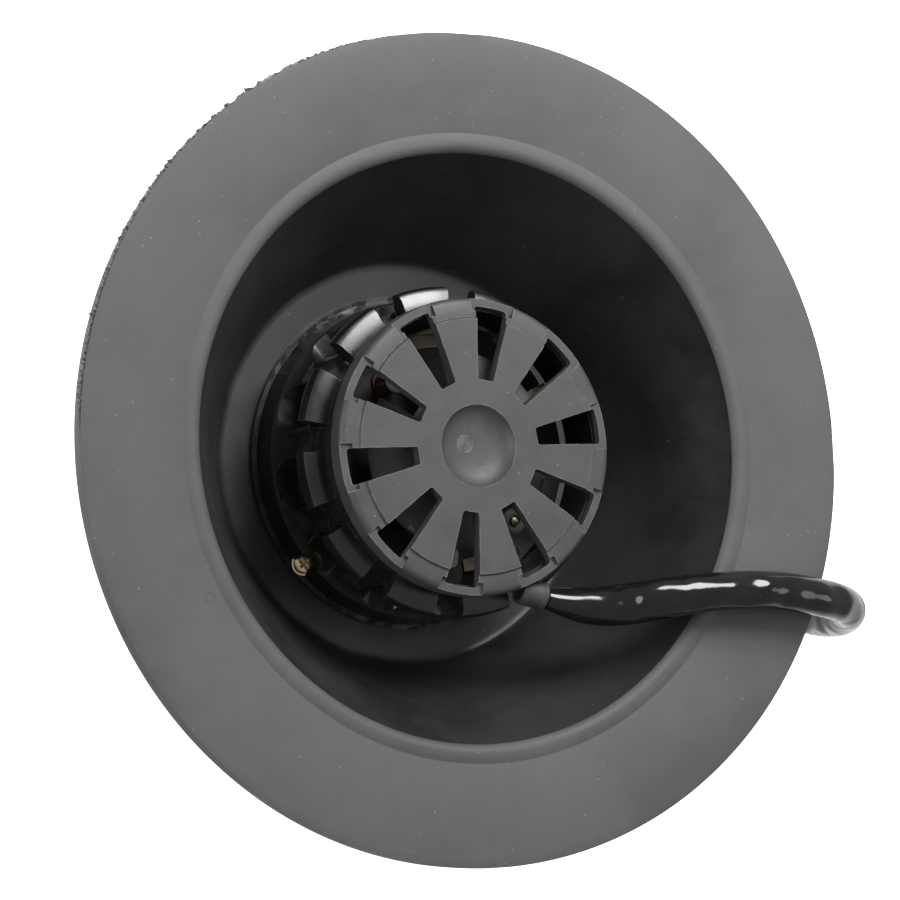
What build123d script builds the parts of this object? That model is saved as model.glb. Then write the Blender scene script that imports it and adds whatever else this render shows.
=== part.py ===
from build123d import *
from math import cos, sin, tan, radians, pi
import os

# Blower motor unit: a brushed motor in a vented cage, sunk in a flanged carrier cup, with its fan
# wheel on the far side. Millimetres. The motor's axis is Z, the cup opens upwards and the fan
# wheel's inlet ring stands on z = 0.

# ---- overall sizes ----
flange_radius = 105.0         # outer edge of the carrier's flange
flange_thickness = 4.5
mouth_radius = 74.3           # where the flange turns down into the bowl
lip_rounding = 4.0
bowl_depth = 44.3             # flange face to the bowl's flat floor
bowl_floor_radius = 52.8
cup_wall = 3.0

# ---- fan wheel ----
wheel_radius = 60.0
wheel_height = 36.0
wheel_gap = 4.7               # wheel's plate to the cup's underside
blade_depth = 12.0
blade_count = 40
blade_thickness = 1.2
wheel_plate = 2.0
dome_wall = 2.0
hub_radius = 8.0
hub_bottom = 3.0
hub_top = 11.5

# ---- clearances ----
seat_gap = 0.2                # between pieces of the same body that drop into each other
running_gap = 0.05            # shaft in its bearings
free_gap = 0.3                # around a screw's shank

# ---- cap ----
cap_radius = 37.7
cap_face_radius = cap_radius - 5.0
cap_face_depth = 0.6          # depths are measured down from the flange's front face
cap_ledge_depth = 1.3
cap_edge_depth = 3.0
cap_skirt_depth = 6.7
cap_skirt_wall = 1.6
cap_thickness = 2.2
recess_radius = 10.4
recess_depth = 3.0
vent_count = 10
first_vent_angle = 8.4
slot_inner_radius = 16.8
slot_angle = 15.0
step_angle = 19.0             # lowered piece of rim across each slot's outer end
step_depth = 2.2

# ---- cage and motor can ----
cage_neck_radius = cap_radius - cap_skirt_wall - seat_gap
cage_neck_wall = 1.0
cage_neck_top_depth = 4.8
cage_inner_radius = cage_neck_radius - cage_neck_wall
slot_outer_radius = cage_neck_radius - 0.3
cage_ring_radius = cap_radius + 4.8
cage_ring_top_depth = 13.6
cage_ring_height = 5.7
cage_ring_rounding = 1.6
cage_waist_radius = cap_radius + 0.7
cage_band_radius = cap_radius + 3.3
cage_band_height = 5.8        # band above the cage's floor plate
cage_base_radius = cap_radius + 6.4
cage_base_thickness = 2.5
cage_edge_height = 1.9
bar_count = 12
first_bar_angle = 9.85
bar_angle = 19.0
window_rounding = 4.0
can_clearance = 4.9           # cage to motor can
can_radius = cage_inner_radius - can_clearance
can_wall = 1.8
can_top_depth = 24.0
can_reach = 27.7              # how far the can stands out behind the cup's floor
can_bottom_depth = bowl_depth + can_reach
can_boss_length = 3.5

# ---- shaft line ----
shaft_radius = 4.0
shaft_top_depth = 6.2
shaft_bottom = 1.0
bearing_radius = shaft_radius + 2.5
bearing_length = 5.6
can_boss_radius = bearing_radius + 2.1
retainer_thickness = 0.6
washer_thickness = 0.6
commutator_radius = 11.0
commutator_length = 11.0
magnet_thickness = 5.7
magnet_inner_radius = can_radius - can_wall - seat_gap - magnet_thickness
magnet_overhang = 4.0         # magnets reach past the core at each end
air_gap = 1.0
core_radius = magnet_inner_radius - air_gap
core_top_depth = 34.0
slot_mouth = 2.0
core_foot_gap = 10.0          # core to the can's end, room for the winding and the bearing
core_length = can_bottom_depth - core_top_depth - core_foot_gap
magnet_length = core_length + 2 * magnet_overhang
insulator_thickness = 0.8
winding_height = 5.6

# ---- brush gear ----
card_thickness = 2.0
brush_angle = 26.4            # direction of the first brush from +X
brush_width = 6.0
brush_height = 5.0
brush_length = 12.0
brush_gap = 0.3               # brush face to commutator
holder_wall = 0.8
holder_outer_radius = cage_inner_radius - 2.9
choke_angle = 131.0
choke_place = cage_inner_radius - 10.9
strap_radius = cage_inner_radius - 3.2
cover_radius = cage_inner_radius - 9.4
cover_depth = 9.8
cover_thickness = 1.4
cover_rim_wall = 1.0
cover_rim_height = 1.2
cover_legs = (76, 166, 236, 346)

# ---- fasteners ----
screw_radius = 1.5
screw_circle_radius = cage_base_radius - 2.8
screw_head_radius = 2.6
screw_head_height = 1.8
screw_bars = (1, 7)           # which cage windows hold a screw
screw_pocket_gap = 0.6
clamp_inner_radius = can_radius + 3.0
clamp_outer_radius = cage_base_radius + 4.9
clamp_thickness = 1.6

# ---- heights that follow ----
flange_top = wheel_height + wheel_gap + cup_wall + bowl_depth
floor_top = flange_top - bowl_depth
cup_underside = floor_top - cup_wall
dome_inner_radius = can_radius + 3.4
blade_inner_radius = wheel_radius - blade_depth

# ---- lead ----
lead_diameter = 9.6
lead_angle = -61.4            # where it leaves the cage
lead_start_radius = cap_radius + 5.7
lead_start_depth = 7.6
grommet_length = 7.0
grommet_collar = 1.0
grommet_collar_length = 3.0
lead_rest = lead_diameter / 2 + 0.4   # height of the lead's middle where it lies on the surface
lead_over = flange_top + 8.0          # and where it crosses the flange
lead_x = lead_start_radius * cos(radians(lead_angle))
lead_y = lead_start_radius * sin(radians(lead_angle))
lead_level = flange_top - lead_start_depth
lead_route = [
    (lead_x, lead_y, lead_level),
    (lead_x + 6.7, lead_y - 4.4, lead_level),
    (lead_x + 17.9, lead_y - 5.4, lead_level + 2.6),
    (lead_x + 29.4, lead_y - 0.4, lead_over - 4.0),
    (mouth_radius - 8.3, -37.2, lead_over),
    (flange_radius - 24.5, -39.5, lead_over),
    (flange_radius - 8.0, -42.5, lead_over),
    (flange_radius + 7.5, -45.5, lead_over - 8.5),
    (flange_radius + 16.5, -47.0, lead_over - 24.0),
    (flange_radius + 17.5, -44.0, flange_top * 0.55),
    (flange_radius + 14.0, -36.0, flange_top * 0.3),
    (flange_radius + 7.0, -22.0, lead_rest + 4.8),
    (flange_radius - 2.0, -4.0, lead_rest),
    (flange_radius - 12.0, 18.0, lead_rest),
    (flange_radius - 28.0, 43.0, lead_rest),
    (flange_radius - 50.0, 61.0, lead_rest),
]

# ---- connector ----
plug_height = 9.6
plug_width = 15.0
plug_length = 20.0
socket_wall = 1.2
socket_depth = 9.0


def height(depth):
    """Height above the wheel's inlet ring of a depth below the flange's face."""
    return flange_top - depth


def ring(inner, outer, low, high):
    """Flat ring or tube about the Z axis."""
    piece = Pos(0, 0, low) * Cylinder(outer, high - low, align=(Align.CENTER, Align.CENTER, Align.MIN))
    if inner > 0:
        bore = Cylinder(inner, high - low + 2, align=(Align.CENTER, Align.CENTER, Align.MIN))
        piece = piece - Pos(0, 0, low - 1) * bore
    return piece


def turned(points):
    """Solid of revolution about Z of a closed outline of (radius, height) points."""
    outline = make_face(Polyline([(r, 0, z) for r, z in points], close=True))
    return revolve(outline, Axis.Z)


def wedge(inner, outer, angle, width, low, high):
    """Ring sector centred on an angle, for vents, windows and arcs."""
    half = width / 2
    corners = []
    for radius, side in ((inner, -half), (outer, -half), (outer, half), (inner, half)):
        corners.append((radius * cos(radians(side)), radius * sin(radians(side))))
    middle_out = (outer, 0)
    middle_in = (inner, 0)
    edges = [
        Line(corners[0], corners[1]),
        ThreePointArc(corners[1], middle_out, corners[2]),
        Line(corners[2], corners[3]),
        ThreePointArc(corners[3], middle_in, corners[0]),
    ]
    sector = extrude(make_face(edges), high - low)
    return Rot(0, 0, angle) * Pos(0, 0, low) * sector


def vent_angle(index):
    return first_vent_angle + index * 360 / vent_count


def bar_middle(index):
    return first_bar_angle + index * 360 / bar_count


def polar(radius, angle):
    return radius * cos(radians(angle)), radius * sin(radians(angle))


def write(node, shape):
    shape.label = node
    export_step(shape, f"parts/{node}.step")


# ---- carrier cup ----
def carrier_cup():
    lip_start = mouth_radius + lip_rounding
    face = flange_top
    inner_wall = Line((mouth_radius, face - lip_rounding), (bowl_floor_radius, floor_top))
    direction = Vector(bowl_floor_radius - mouth_radius, floor_top - face + lip_rounding).normalized()
    normal = Vector(direction.Y, -direction.X)
    outward = normal if normal.X > 0 else normal * -1
    low = Vector(bowl_floor_radius, floor_top) + outward * cup_wall
    slope = direction.X / direction.Y
    wall_foot = low.X + slope * (cup_underside - low.Y)
    wall_head = low.X + slope * (face - flange_thickness - low.Y)
    hole = can_radius + seat_gap
    edges = [
        Line((hole, floor_top), (bowl_floor_radius, floor_top)),
        inner_wall,
        ThreePointArc(
            (mouth_radius, face - lip_rounding),
            (lip_start - lip_rounding * cos(radians(45)), face - lip_rounding * (1 - sin(radians(45)))),
            (lip_start, face),
        ),
        Line((lip_start, face), (flange_radius, face)),
        Line((flange_radius, face), (flange_radius, face - flange_thickness)),
        Line((flange_radius, face - flange_thickness), (wall_head, face - flange_thickness)),
        Line((wall_head, face - flange_thickness), (wall_foot, cup_underside)),
        Line((wall_foot, cup_underside), (hole, cup_underside)),
        Line((hole, cup_underside), (hole, floor_top)),
    ]
    outline = Plane.XZ * make_face(edges)
    cup = revolve(outline, Axis.Z)
    return cup - screw_holes(screw_radius + free_gap, cup_underside - 1, floor_top + 1)


def screw_holes(radius, low, high):
    holes = []
    for index in screw_bars:
        x, y = polar(screw_circle_radius, bar_middle(index))
        hole = Cylinder(radius, high - low, align=(Align.CENTER, Align.CENTER, Align.MIN))
        holes.append(Pos(x, y, low) * hole)
    return holes


def clamp_ring():
    plate = ring(clamp_inner_radius, clamp_outer_radius, cup_underside - clamp_thickness, cup_underside)
    return plate - screw_holes(screw_radius, cup_underside - clamp_thickness - 1, cup_underside + 1)


def cage_screws():
    base_top = floor_top + cage_base_thickness
    shank_end = cup_underside - clamp_thickness
    screws = []
    for index in screw_bars:
        x, y = polar(screw_circle_radius, bar_middle(index))
        shank = ring(0, screw_radius, shank_end, base_top)
        head = ring(0, screw_head_radius, base_top, base_top + screw_head_height)
        head = fillet(head.edges().group_by(Axis.Z)[-1], screw_head_height / 3)
        cross = Box(screw_head_radius * 1.1, 0.6, 1.2) + Box(0.6, screw_head_radius * 1.1, 1.2)
        drive = Pos(0, 0, base_top + screw_head_height) * cross
        screws.append(Pos(x, y, 0) * (shank + head - drive))
    return Compound(children=screws)


# ---- cage and cap ----
def cage_outline():
    """Half section of the cage: neck, ring, waist, flared band and floor plate."""
    neck_top = height(cage_neck_top_depth)
    ring_top = height(cage_ring_top_depth)
    ring_foot = ring_top - cage_ring_height
    base_top = floor_top + cage_base_thickness
    band_top = base_top + cage_band_height
    edge_top = floor_top + cage_edge_height
    seat = can_radius + seat_gap
    outer = cage_ring_radius
    soft = cage_ring_rounding
    corner = soft * (1 - sin(radians(45)))
    flare_radius = cage_base_radius - 1.0
    return [
        Line((cage_inner_radius, neck_top), (cage_neck_radius, neck_top)),
        Line((cage_neck_radius, neck_top), (cage_neck_radius, ring_top)),
        Line((cage_neck_radius, ring_top), (outer - soft, ring_top)),
        ThreePointArc((outer - soft, ring_top), (outer - corner, ring_top - corner),
                      (outer, ring_top - soft)),
        Line((outer, ring_top - soft), (outer, ring_foot + soft)),
        ThreePointArc((outer, ring_foot + soft), (outer - corner, ring_foot + corner),
                      (outer - soft, ring_foot)),
        Line((outer - soft, ring_foot), (cage_waist_radius, ring_foot)),
        Line((cage_waist_radius, ring_foot), (cage_waist_radius, band_top + 6)),
        ThreePointArc(
            (cage_waist_radius, band_top + 6),
            (cage_waist_radius + 0.8, band_top + 2.2),
            (cage_band_radius, band_top),
        ),
        Line((cage_band_radius, band_top), (flare_radius, edge_top)),
        Line((flare_radius, edge_top), (cage_base_radius, edge_top)),
        Line((cage_base_radius, edge_top), (cage_base_radius, floor_top)),
        Line((cage_base_radius, floor_top), (seat, floor_top)),
        Line((seat, floor_top), (seat, base_top)),
        Line((seat, base_top), (cage_inner_radius, base_top)),
        Line((cage_inner_radius, base_top), (cage_inner_radius, neck_top)),
    ]


def cage_window(low, high):
    """Cutter along +X for one window, its lower corners rounded."""
    width = 2 * cage_waist_radius * sin(radians(bar_angle / 2))
    length = cage_base_radius + 4 - cage_inner_radius
    block = Box(length, width, high - low, align=(Align.MIN, Align.CENTER, Align.MIN))
    block = fillet(block.edges().filter_by(Axis.X).group_by(Axis.Z)[0], window_rounding)
    return Pos(cage_inner_radius - 2, 0, low) * block


def motor_cage():
    ring_top = height(cage_ring_top_depth)
    ring_foot = ring_top - cage_ring_height
    base_top = floor_top + cage_base_thickness
    band_top = base_top + cage_band_height
    cage = revolve(Plane.XZ * make_face(cage_outline()), Axis.Z)
    bar_step = 360 / bar_count
    cuts = []
    for index in range(bar_count):
        angle = bar_middle(index)
        cuts.append(Rot(0, 0, angle) * cage_window(band_top, ring_foot))
        cuts.append(wedge(cage_neck_radius, cage_base_radius, angle + bar_step / 2, bar_step - bar_angle,
                          ring_foot, ring_top + 1))
    cuts += screw_holes(screw_radius + free_gap, floor_top - 1, base_top + 1)
    cuts += screw_holes(screw_head_radius + screw_pocket_gap, base_top, band_top + 1)
    cuts.append(lead_passage(lead_diameter / 2 + free_gap))
    return cage - cuts


def vent_cap():
    face = height(cap_face_depth)
    ledge = height(cap_ledge_depth)
    edge = height(cap_edge_depth)
    skirt = height(cap_skirt_depth)
    inner_face = face - cap_thickness
    inner_skirt = cap_radius - cap_skirt_wall
    roof_end = height(cage_neck_top_depth) + seat_gap
    recess_floor = face - recess_depth
    pocket = recess_floor - cap_thickness
    boss_end = pocket - bearing_length
    boss_radius = bearing_radius + 2.2
    points = [
        (0, recess_floor), (recess_radius - 1.2, recess_floor), (recess_radius, face),
        (cap_face_radius - 0.5, face), (cap_face_radius, ledge), (cap_radius - 1.6, ledge),
        (cap_radius - 0.4, ledge - 0.6), (cap_radius, edge), (cap_radius, skirt), (inner_skirt, skirt),
        (inner_skirt, roof_end), (cap_face_radius - 1.0, inner_face - 1), (boss_radius, inner_face - 1),
        (boss_radius, boss_end), (bearing_radius, boss_end), (bearing_radius, pocket), (0, pocket),
    ]
    cap = turned(points)
    cuts = []
    for index in range(vent_count):
        angle = vent_angle(index)
        cuts.append(wedge(slot_inner_radius, slot_outer_radius, angle, slot_angle, roof_end - 3, face + 1))
        cuts.append(wedge(slot_outer_radius - 1.2, cap_radius + 1, angle, step_angle,
                          height(step_depth), face + 1))
    cuts.append(lead_passage(lead_diameter / 2 + free_gap))
    return cap - cuts


def lead_exit():
    """Plane at the lead's start, looking out along its first run."""
    start = Vector(lead_route[0])
    return Plane(origin=start, z_dir=Vector(lead_route[1]) - start)


def lead_passage(radius):
    """Round cut where the lead leaves through the cap's skirt and the cage's neck."""
    reach = 12
    bore = Cylinder(radius, reach * 1.5, align=(Align.CENTER, Align.CENTER, Align.MIN))
    return lead_exit() * Pos(0, 0, -reach) * bore


def lead_grommet():
    """Rubber bush in the passage with a collar outside the cap; the lead starts at its face."""
    bush_piece = Cylinder(lead_diameter / 2, grommet_length, align=(Align.CENTER, Align.CENTER, Align.MAX))
    collar = Cylinder(lead_diameter / 2 + grommet_collar, grommet_collar_length,
                      align=(Align.CENTER, Align.CENTER, Align.MAX))
    return lead_exit() * (bush_piece + collar)


# ---- motor can, magnets and bearings ----
def motor_can():
    top = height(can_top_depth)
    bottom = height(can_bottom_depth)
    boss = bottom - can_boss_length
    points = [
        (can_radius, top), (can_radius, bottom), (can_boss_radius, bottom), (can_boss_radius, boss),
        (shaft_radius + 0.6, boss), (shaft_radius + 0.6, boss + 1.4), (bearing_radius, boss + 1.4),
        (bearing_radius, bottom + can_wall), (can_radius - can_wall, bottom + can_wall),
        (can_radius - can_wall, top),
    ]
    return turned(points)


def field_magnets():
    top = height(core_top_depth) + magnet_overhang
    outer = can_radius - can_wall - seat_gap
    pair = []
    for angle in (0, 180):
        pair.append(wedge(magnet_inner_radius, outer, brush_angle + angle, 130, top - magnet_length, top))
    return Compound(children=pair)


def magnet_clips():
    top = height(core_top_depth) + magnet_overhang
    outer = can_radius - can_wall - seat_gap
    pair = []
    for angle in (90, 270):
        pair.append(wedge(outer - 1.2, outer, brush_angle + angle, 48, top - magnet_length + 2, top - 2))
    return Compound(children=pair)


def bush(low):
    """Sintered self-aligning bush: barrel outside, round bore."""
    high = low + bearing_length
    middle = (low + high) / 2
    inner = shaft_radius + running_gap
    edges = [
        Line((inner, low), (bearing_radius - 1.2, low)),
        ThreePointArc((bearing_radius - 1.2, low), (bearing_radius, middle), (bearing_radius - 1.2, high)),
        Line((bearing_radius - 1.2, high), (inner, high)),
        Line((inner, high), (inner, low)),
    ]
    return revolve(Plane.XZ * make_face(edges), Axis.Z)


def cap_pocket_end():
    return height(cap_face_depth) - recess_depth - cap_thickness - bearing_length


def drive_bearing_low():
    return height(can_bottom_depth) - can_boss_length + 1.4


def cap_retainer():
    top = cap_pocket_end()
    return ring(shaft_radius + 1, bearing_radius + 2, top - retainer_thickness, top)


def drive_retainer():
    low = drive_bearing_low() + bearing_length
    base = height(can_bottom_depth) + can_wall
    washer = ring(shaft_radius + 1, bearing_radius + 2, low, low + retainer_thickness)
    skirt = ring(bearing_radius + 1.2, bearing_radius + 2, base, low)
    return washer + skirt


# ---- rotor ----
def motor_shaft():
    shaft = ring(0, shaft_radius, shaft_bottom, height(shaft_top_depth))
    return chamfer(shaft.edges().group_by(Axis.Z)[0] + shaft.edges().group_by(Axis.Z)[-1], 0.4)


def commutator_top():
    return cap_pocket_end() - retainer_thickness - free_gap - washer_thickness


def thrust_washers():
    upper = commutator_top()
    lower = hub_top
    pair = [
        ring(shaft_radius, shaft_radius + 2, upper, upper + washer_thickness),
        ring(shaft_radius, shaft_radius + 2, lower, lower + washer_thickness),
    ]
    return Compound(children=pair)


def commutator():
    top = commutator_top()
    barrel = ring(shaft_radius, commutator_radius, top - commutator_length, top)
    bars = []
    for index in range(12):
        bar_gap = Box(1.4, 0.5, commutator_length + 1)
        bar_middle_z = top - commutator_length / 2
        bars.append(Rot(0, 0, index * 30) * Pos(commutator_radius, 0, bar_middle_z) * bar_gap)
    return barrel - bars


def armature_core():
    top = height(core_top_depth)
    middle = top - core_length / 2
    core = ring(shaft_radius, core_radius, top - core_length, top)
    slots = []
    for index in range(12):
        mouth = Pos(core_radius, 0, middle) * Box(0.4 * core_radius, slot_mouth, core_length + 1)
        pocket = Pos(0.72 * core_radius, 0, middle) * Cylinder(0.12 * core_radius, core_length + 1)
        slots.append(Rot(0, 0, index * 30) * (mouth + pocket))
    return core - slots


def insulators():
    top = height(core_top_depth)
    foot = top - core_length
    pair = [
        ring(shaft_radius, core_radius - 1, top, top + insulator_thickness),
        ring(shaft_radius, core_radius - 1, foot - insulator_thickness, foot),
    ]
    return Compound(children=pair)


def winding_head(low, high):
    inner = shaft_radius + 4.6
    outer = core_radius - 2.6
    head = ring(inner, outer, low, high)
    return fillet(head.edges(), winding_height / 3)


def armature_windings():
    top = height(core_top_depth) + insulator_thickness
    foot = height(core_top_depth) - core_length - insulator_thickness
    upper = winding_head(top, top + winding_height)
    lower = winding_head(foot - winding_height, foot)
    return Compound(children=[upper, lower])


# ---- brush gear ----
def card_top():
    return height(can_top_depth) + card_thickness


def brush_card():
    card = ring(commutator_radius + 1.5, cage_inner_radius - seat_gap, height(can_top_depth), card_top())
    return card


def radial(piece, angle, level):
    """Places a piece modelled along +X at a level and turns it to an angle."""
    return Rot(0, 0, angle) * Pos(0, 0, level) * piece


def brush_level():
    return card_top() + holder_wall + free_gap + brush_height / 2


def brush_holder(angle):
    inner = commutator_radius + 1.2
    length = holder_outer_radius - inner
    wide = brush_width + 2 * (holder_wall + free_gap)
    tall = brush_height + 2 * (holder_wall + free_gap)
    box = Pos(inner + length / 2, 0, 0) * Box(length, wide, tall)
    hollow_length = length - holder_wall
    hollow = Pos(inner + hollow_length / 2 - 0.5, 0, 0) * Box(hollow_length + 1, wide - 2 * holder_wall,
                                                          tall - 2 * holder_wall)
    window = Pos(inner + length / 2, 0, tall / 2) * Box(length - 8, brush_width / 2, 2)
    return radial(box - hollow - window, angle, brush_level())


def brush(angle):
    start = commutator_radius + brush_gap
    block = Pos(start + brush_length / 2, 0, 0) * Box(brush_length, brush_width, brush_height)
    return radial(block, angle, brush_level())


def brush_spring(angle):
    start = commutator_radius + brush_gap + brush_length
    end = holder_outer_radius - holder_wall
    coil = Rot(0, 90, 0) * Cylinder(brush_height / 2 - 0.2, end - start)
    return radial(Pos((start + end) / 2, 0, 0) * coil, angle, brush_level())


def choke(angle):
    """Ferrite rod choke standing on the brush card."""
    x, y = polar(choke_place, angle)
    core = ring(0, 2.0, card_top(), card_top() + 9)
    coil = ring(0, 3.4, card_top() + 1, card_top() + 8)
    return Pos(x, y, 0) * (core + coil)


def capacitor():
    x, y = polar(cage_inner_radius - 7.9, vent_angle(7))
    block = Box(5, 9, 7, align=(Align.CENTER, Align.CENTER, Align.MIN))
    block = fillet(block.edges().filter_by(Axis.Z), 1.5)
    return Pos(x, y, card_top()) * Rot(0, 0, vent_angle(7)) * block


def terminal_straps():
    straps = []
    for angle in (102, 292):
        strap = wedge(strap_radius - 1, strap_radius, angle, 26, card_top(), card_top() + 7.5)
        foot = wedge(strap_radius - 4, strap_radius, angle, 26, card_top(), card_top() + 0.8)
        straps.append(strap + foot)
    return Compound(children=straps)


def brush_cover():
    """Cover plate above the brush gear: a low dish on four legs, open over the commutator."""
    top = height(cover_depth)
    low = top - cover_thickness
    inner = commutator_radius + 1.0
    dish = ring(inner, cover_radius, low, top)
    dish += ring(cover_radius - cover_rim_wall, cover_radius, low - cover_rim_height, low)
    for angle in cover_legs:
        dish += wedge(cover_radius - 2.4, cover_radius, angle, 8, card_top(), low)
    return dish


# ---- fan wheel ----
def blade():
    """One forward-curved blade: a short arc of constant thickness."""
    root = (blade_inner_radius, 0)
    tip = (wheel_radius - 0.5, 5.0)
    bulge = ((root[0] + tip[0]) / 2 + 1.6, (root[1] + tip[1]) / 2 - 2.2)
    camber = ThreePointArc(root, bulge, tip)
    outline = trace(camber, blade_thickness)
    return Pos(0, 0, 1.0) * extrude(outline, wheel_height - wheel_plate)


def fan_wheel():
    plate_low = wheel_height - wheel_plate
    dome_outer = dome_inner_radius + dome_wall
    dome_low = hub_top - dome_wall
    points = [
        (shaft_radius, hub_bottom), (hub_radius, hub_bottom), (hub_radius, dome_low),
        (dome_outer - 4, dome_low), (dome_outer, plate_low), (wheel_radius, plate_low),
        (wheel_radius, wheel_height), (dome_inner_radius, wheel_height),
        (dome_inner_radius - 1.6, hub_top), (shaft_radius, hub_top),
    ]
    hub = turned(points)
    inlet = ring(wheel_radius - 5, wheel_radius, 0, 2.5)
    blades = []
    for index in range(blade_count):
        blades.append(Rot(0, 0, index * 360 / blade_count) * blade())
    return hub + inlet + blades


def wheel_clip():
    clip = ring(shaft_radius, shaft_radius + 3.5, hub_bottom - 1.2, hub_bottom)
    gaps = []
    for angle in (0, 120, 240):
        gaps.append(Rot(0, 0, angle) * Pos(shaft_radius + 0.6, 0, hub_bottom) * Box(2.4, 1.2, 4))
    return clip - gaps


# ---- lead and connector ----
def lead_radii(route):
    """Radius of the arc at each corner: as large as the shorter of its two runs allows."""
    radii = []
    for before, here, after in zip(route, route[1:], route[2:]):
        run_in = Vector(here) - Vector(before)
        run_out = Vector(after) - Vector(here)
        turn = run_in.get_angle(run_out)
        shorter = min(run_in.length, run_out.length)
        radii.append(0.45 * shorter / tan(radians(turn / 2)))
    return radii


def lead_sleeve():
    radii = lead_radii(lead_route)
    path = FilletPolyline(*lead_route, radius=radii)
    start = Plane(origin=path @ 0, z_dir=path % 0)
    tube = sweep(start * Circle(lead_diameter / 2), path=path)
    print("lead radii", [round(r, 1) for r in radii])
    print("lead length", round(path.length, 1), "volume ratio",
          round(tube.volume / (path.length * pi * lead_diameter ** 2 / 4), 4))
    return tube


def connector_frame():
    """Plane at the lead's end, looking along its last run."""
    last = Vector(lead_route[-1])
    along = last - Vector(lead_route[-2])
    return Plane(origin=last, x_dir=Vector(0, 0, 1), z_dir=along)


def connector_housing():
    body = Pos(0, 0, plug_length / 2) * Box(plug_height, plug_width, plug_length)
    body = fillet(body.edges().filter_by(Axis.Z), 1.2)
    inside = Box(plug_height - 2 * socket_wall, plug_width - 2 * socket_wall, socket_depth,
                 align=(Align.CENTER, Align.CENTER, Align.MAX))
    latch = Pos(plug_height / 2, 0, plug_length * 0.62) * Box(1.6, 5, 8)
    body = body - Pos(0, 0, plug_length) * inside
    body = body + latch
    return connector_frame() * body


def connector_terminals():
    blades = []
    for side in (-3.2, 3.2):
        pin = Box(0.8, 2.8, 7.5, align=(Align.CENTER, Align.CENTER, Align.MIN))
        blades.append(connector_frame() * Pos(0, side, plug_length - socket_depth) * pin)
    return Compound(children=blades)


pieces = {
    "carrier_cup": carrier_cup,
    "clamp_ring": clamp_ring,
    "cage_screws": cage_screws,
    "motor_cage": motor_cage,
    "vent_cap": vent_cap,
    "lead_grommet": lead_grommet,
    "motor_can": motor_can,
    "field_magnets": field_magnets,
    "magnet_clips": magnet_clips,
    "cap_bearing": lambda: bush(cap_pocket_end()),
    "drive_bearing": lambda: bush(drive_bearing_low()),
    "cap_bearing_retainer": cap_retainer,
    "drive_bearing_retainer": drive_retainer,
    "motor_shaft": motor_shaft,
    "thrust_washers": thrust_washers,
    "commutator": commutator,
    "armature_core": armature_core,
    "armature_insulators": insulators,
    "armature_windings": armature_windings,
    "brush_card": brush_card,
    "brush_holder_a": lambda: brush_holder(brush_angle),
    "brush_holder_b": lambda: brush_holder(brush_angle + 180),
    "brush_a": lambda: brush(brush_angle),
    "brush_b": lambda: brush(brush_angle + 180),
    "brush_spring_a": lambda: brush_spring(brush_angle),
    "brush_spring_b": lambda: brush_spring(brush_angle + 180),
    "choke_a": lambda: choke(choke_angle),
    "choke_b": lambda: choke(choke_angle + 180),
    "suppression_capacitor": capacitor,
    "terminal_straps": terminal_straps,
    "brush_cover": brush_cover,
    "fan_wheel": fan_wheel,
    "wheel_clip": wheel_clip,
    "lead_sleeve": lead_sleeve,
    "connector_housing": connector_housing,
    "connector_terminals": connector_terminals,
}

os.makedirs("parts", exist_ok=True)
for node, make in pieces.items():
    write(node, make())
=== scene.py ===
from math import cos, sin, radians, pi
import bpy
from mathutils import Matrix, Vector, noise


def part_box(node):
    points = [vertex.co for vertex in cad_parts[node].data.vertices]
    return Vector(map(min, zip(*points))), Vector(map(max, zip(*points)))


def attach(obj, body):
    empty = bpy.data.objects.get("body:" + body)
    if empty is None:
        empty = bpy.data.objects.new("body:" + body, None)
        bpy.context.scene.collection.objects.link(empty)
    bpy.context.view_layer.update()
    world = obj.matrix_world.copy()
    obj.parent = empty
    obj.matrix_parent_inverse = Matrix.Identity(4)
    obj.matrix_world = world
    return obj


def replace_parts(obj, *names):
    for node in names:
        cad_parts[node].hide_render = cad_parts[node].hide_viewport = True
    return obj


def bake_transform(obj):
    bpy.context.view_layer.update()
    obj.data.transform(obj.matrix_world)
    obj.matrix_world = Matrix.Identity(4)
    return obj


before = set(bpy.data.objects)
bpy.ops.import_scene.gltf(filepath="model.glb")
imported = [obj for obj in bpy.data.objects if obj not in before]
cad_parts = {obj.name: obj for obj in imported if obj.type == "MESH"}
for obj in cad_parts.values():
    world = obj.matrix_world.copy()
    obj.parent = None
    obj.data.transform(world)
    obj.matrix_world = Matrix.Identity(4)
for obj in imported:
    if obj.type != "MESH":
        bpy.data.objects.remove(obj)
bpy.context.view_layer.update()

scene = bpy.context.scene
scene.view_settings.view_transform = "Standard"
mm = 0.001


def deselectAll():
    if bpy.context.object and bpy.context.object.mode != "OBJECT":
        bpy.ops.object.mode_set(mode="OBJECT")
    bpy.ops.object.select_all(action="DESELECT")


def pick(*objs):
    deselectAll()
    for obj in objs:
        obj.select_set(True)
    bpy.context.view_layer.objects.active = objs[0]


# camera
cameraSet = {
    "aim": (-0.0067, -0.0008, 0.0846),
    "distance": 0.7515,
    "lens": 120,
    "leanX": 5.7,                      # degrees about X, applied after the lean about Y
    "leanY": -26.05,
}


def makeCamera(s):
    bpy.ops.object.camera_add()
    camera = bpy.context.object
    camera.name = "studioCamera"
    camera.rotation_mode = "YXZ"
    camera.rotation_euler = (radians(s["leanX"]), radians(s["leanY"]), 0)
    bpy.context.view_layer.update()
    back = camera.matrix_world.to_3x3() @ Vector((0, 0, 1))
    camera.location = Vector(s["aim"]) + back * s["distance"]
    camera.data.lens = s["lens"]
    camera.data.dof.use_dof = False
    scene.camera = camera
    print("camera placed")


deselectAll()
makeCamera(cameraSet)

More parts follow.
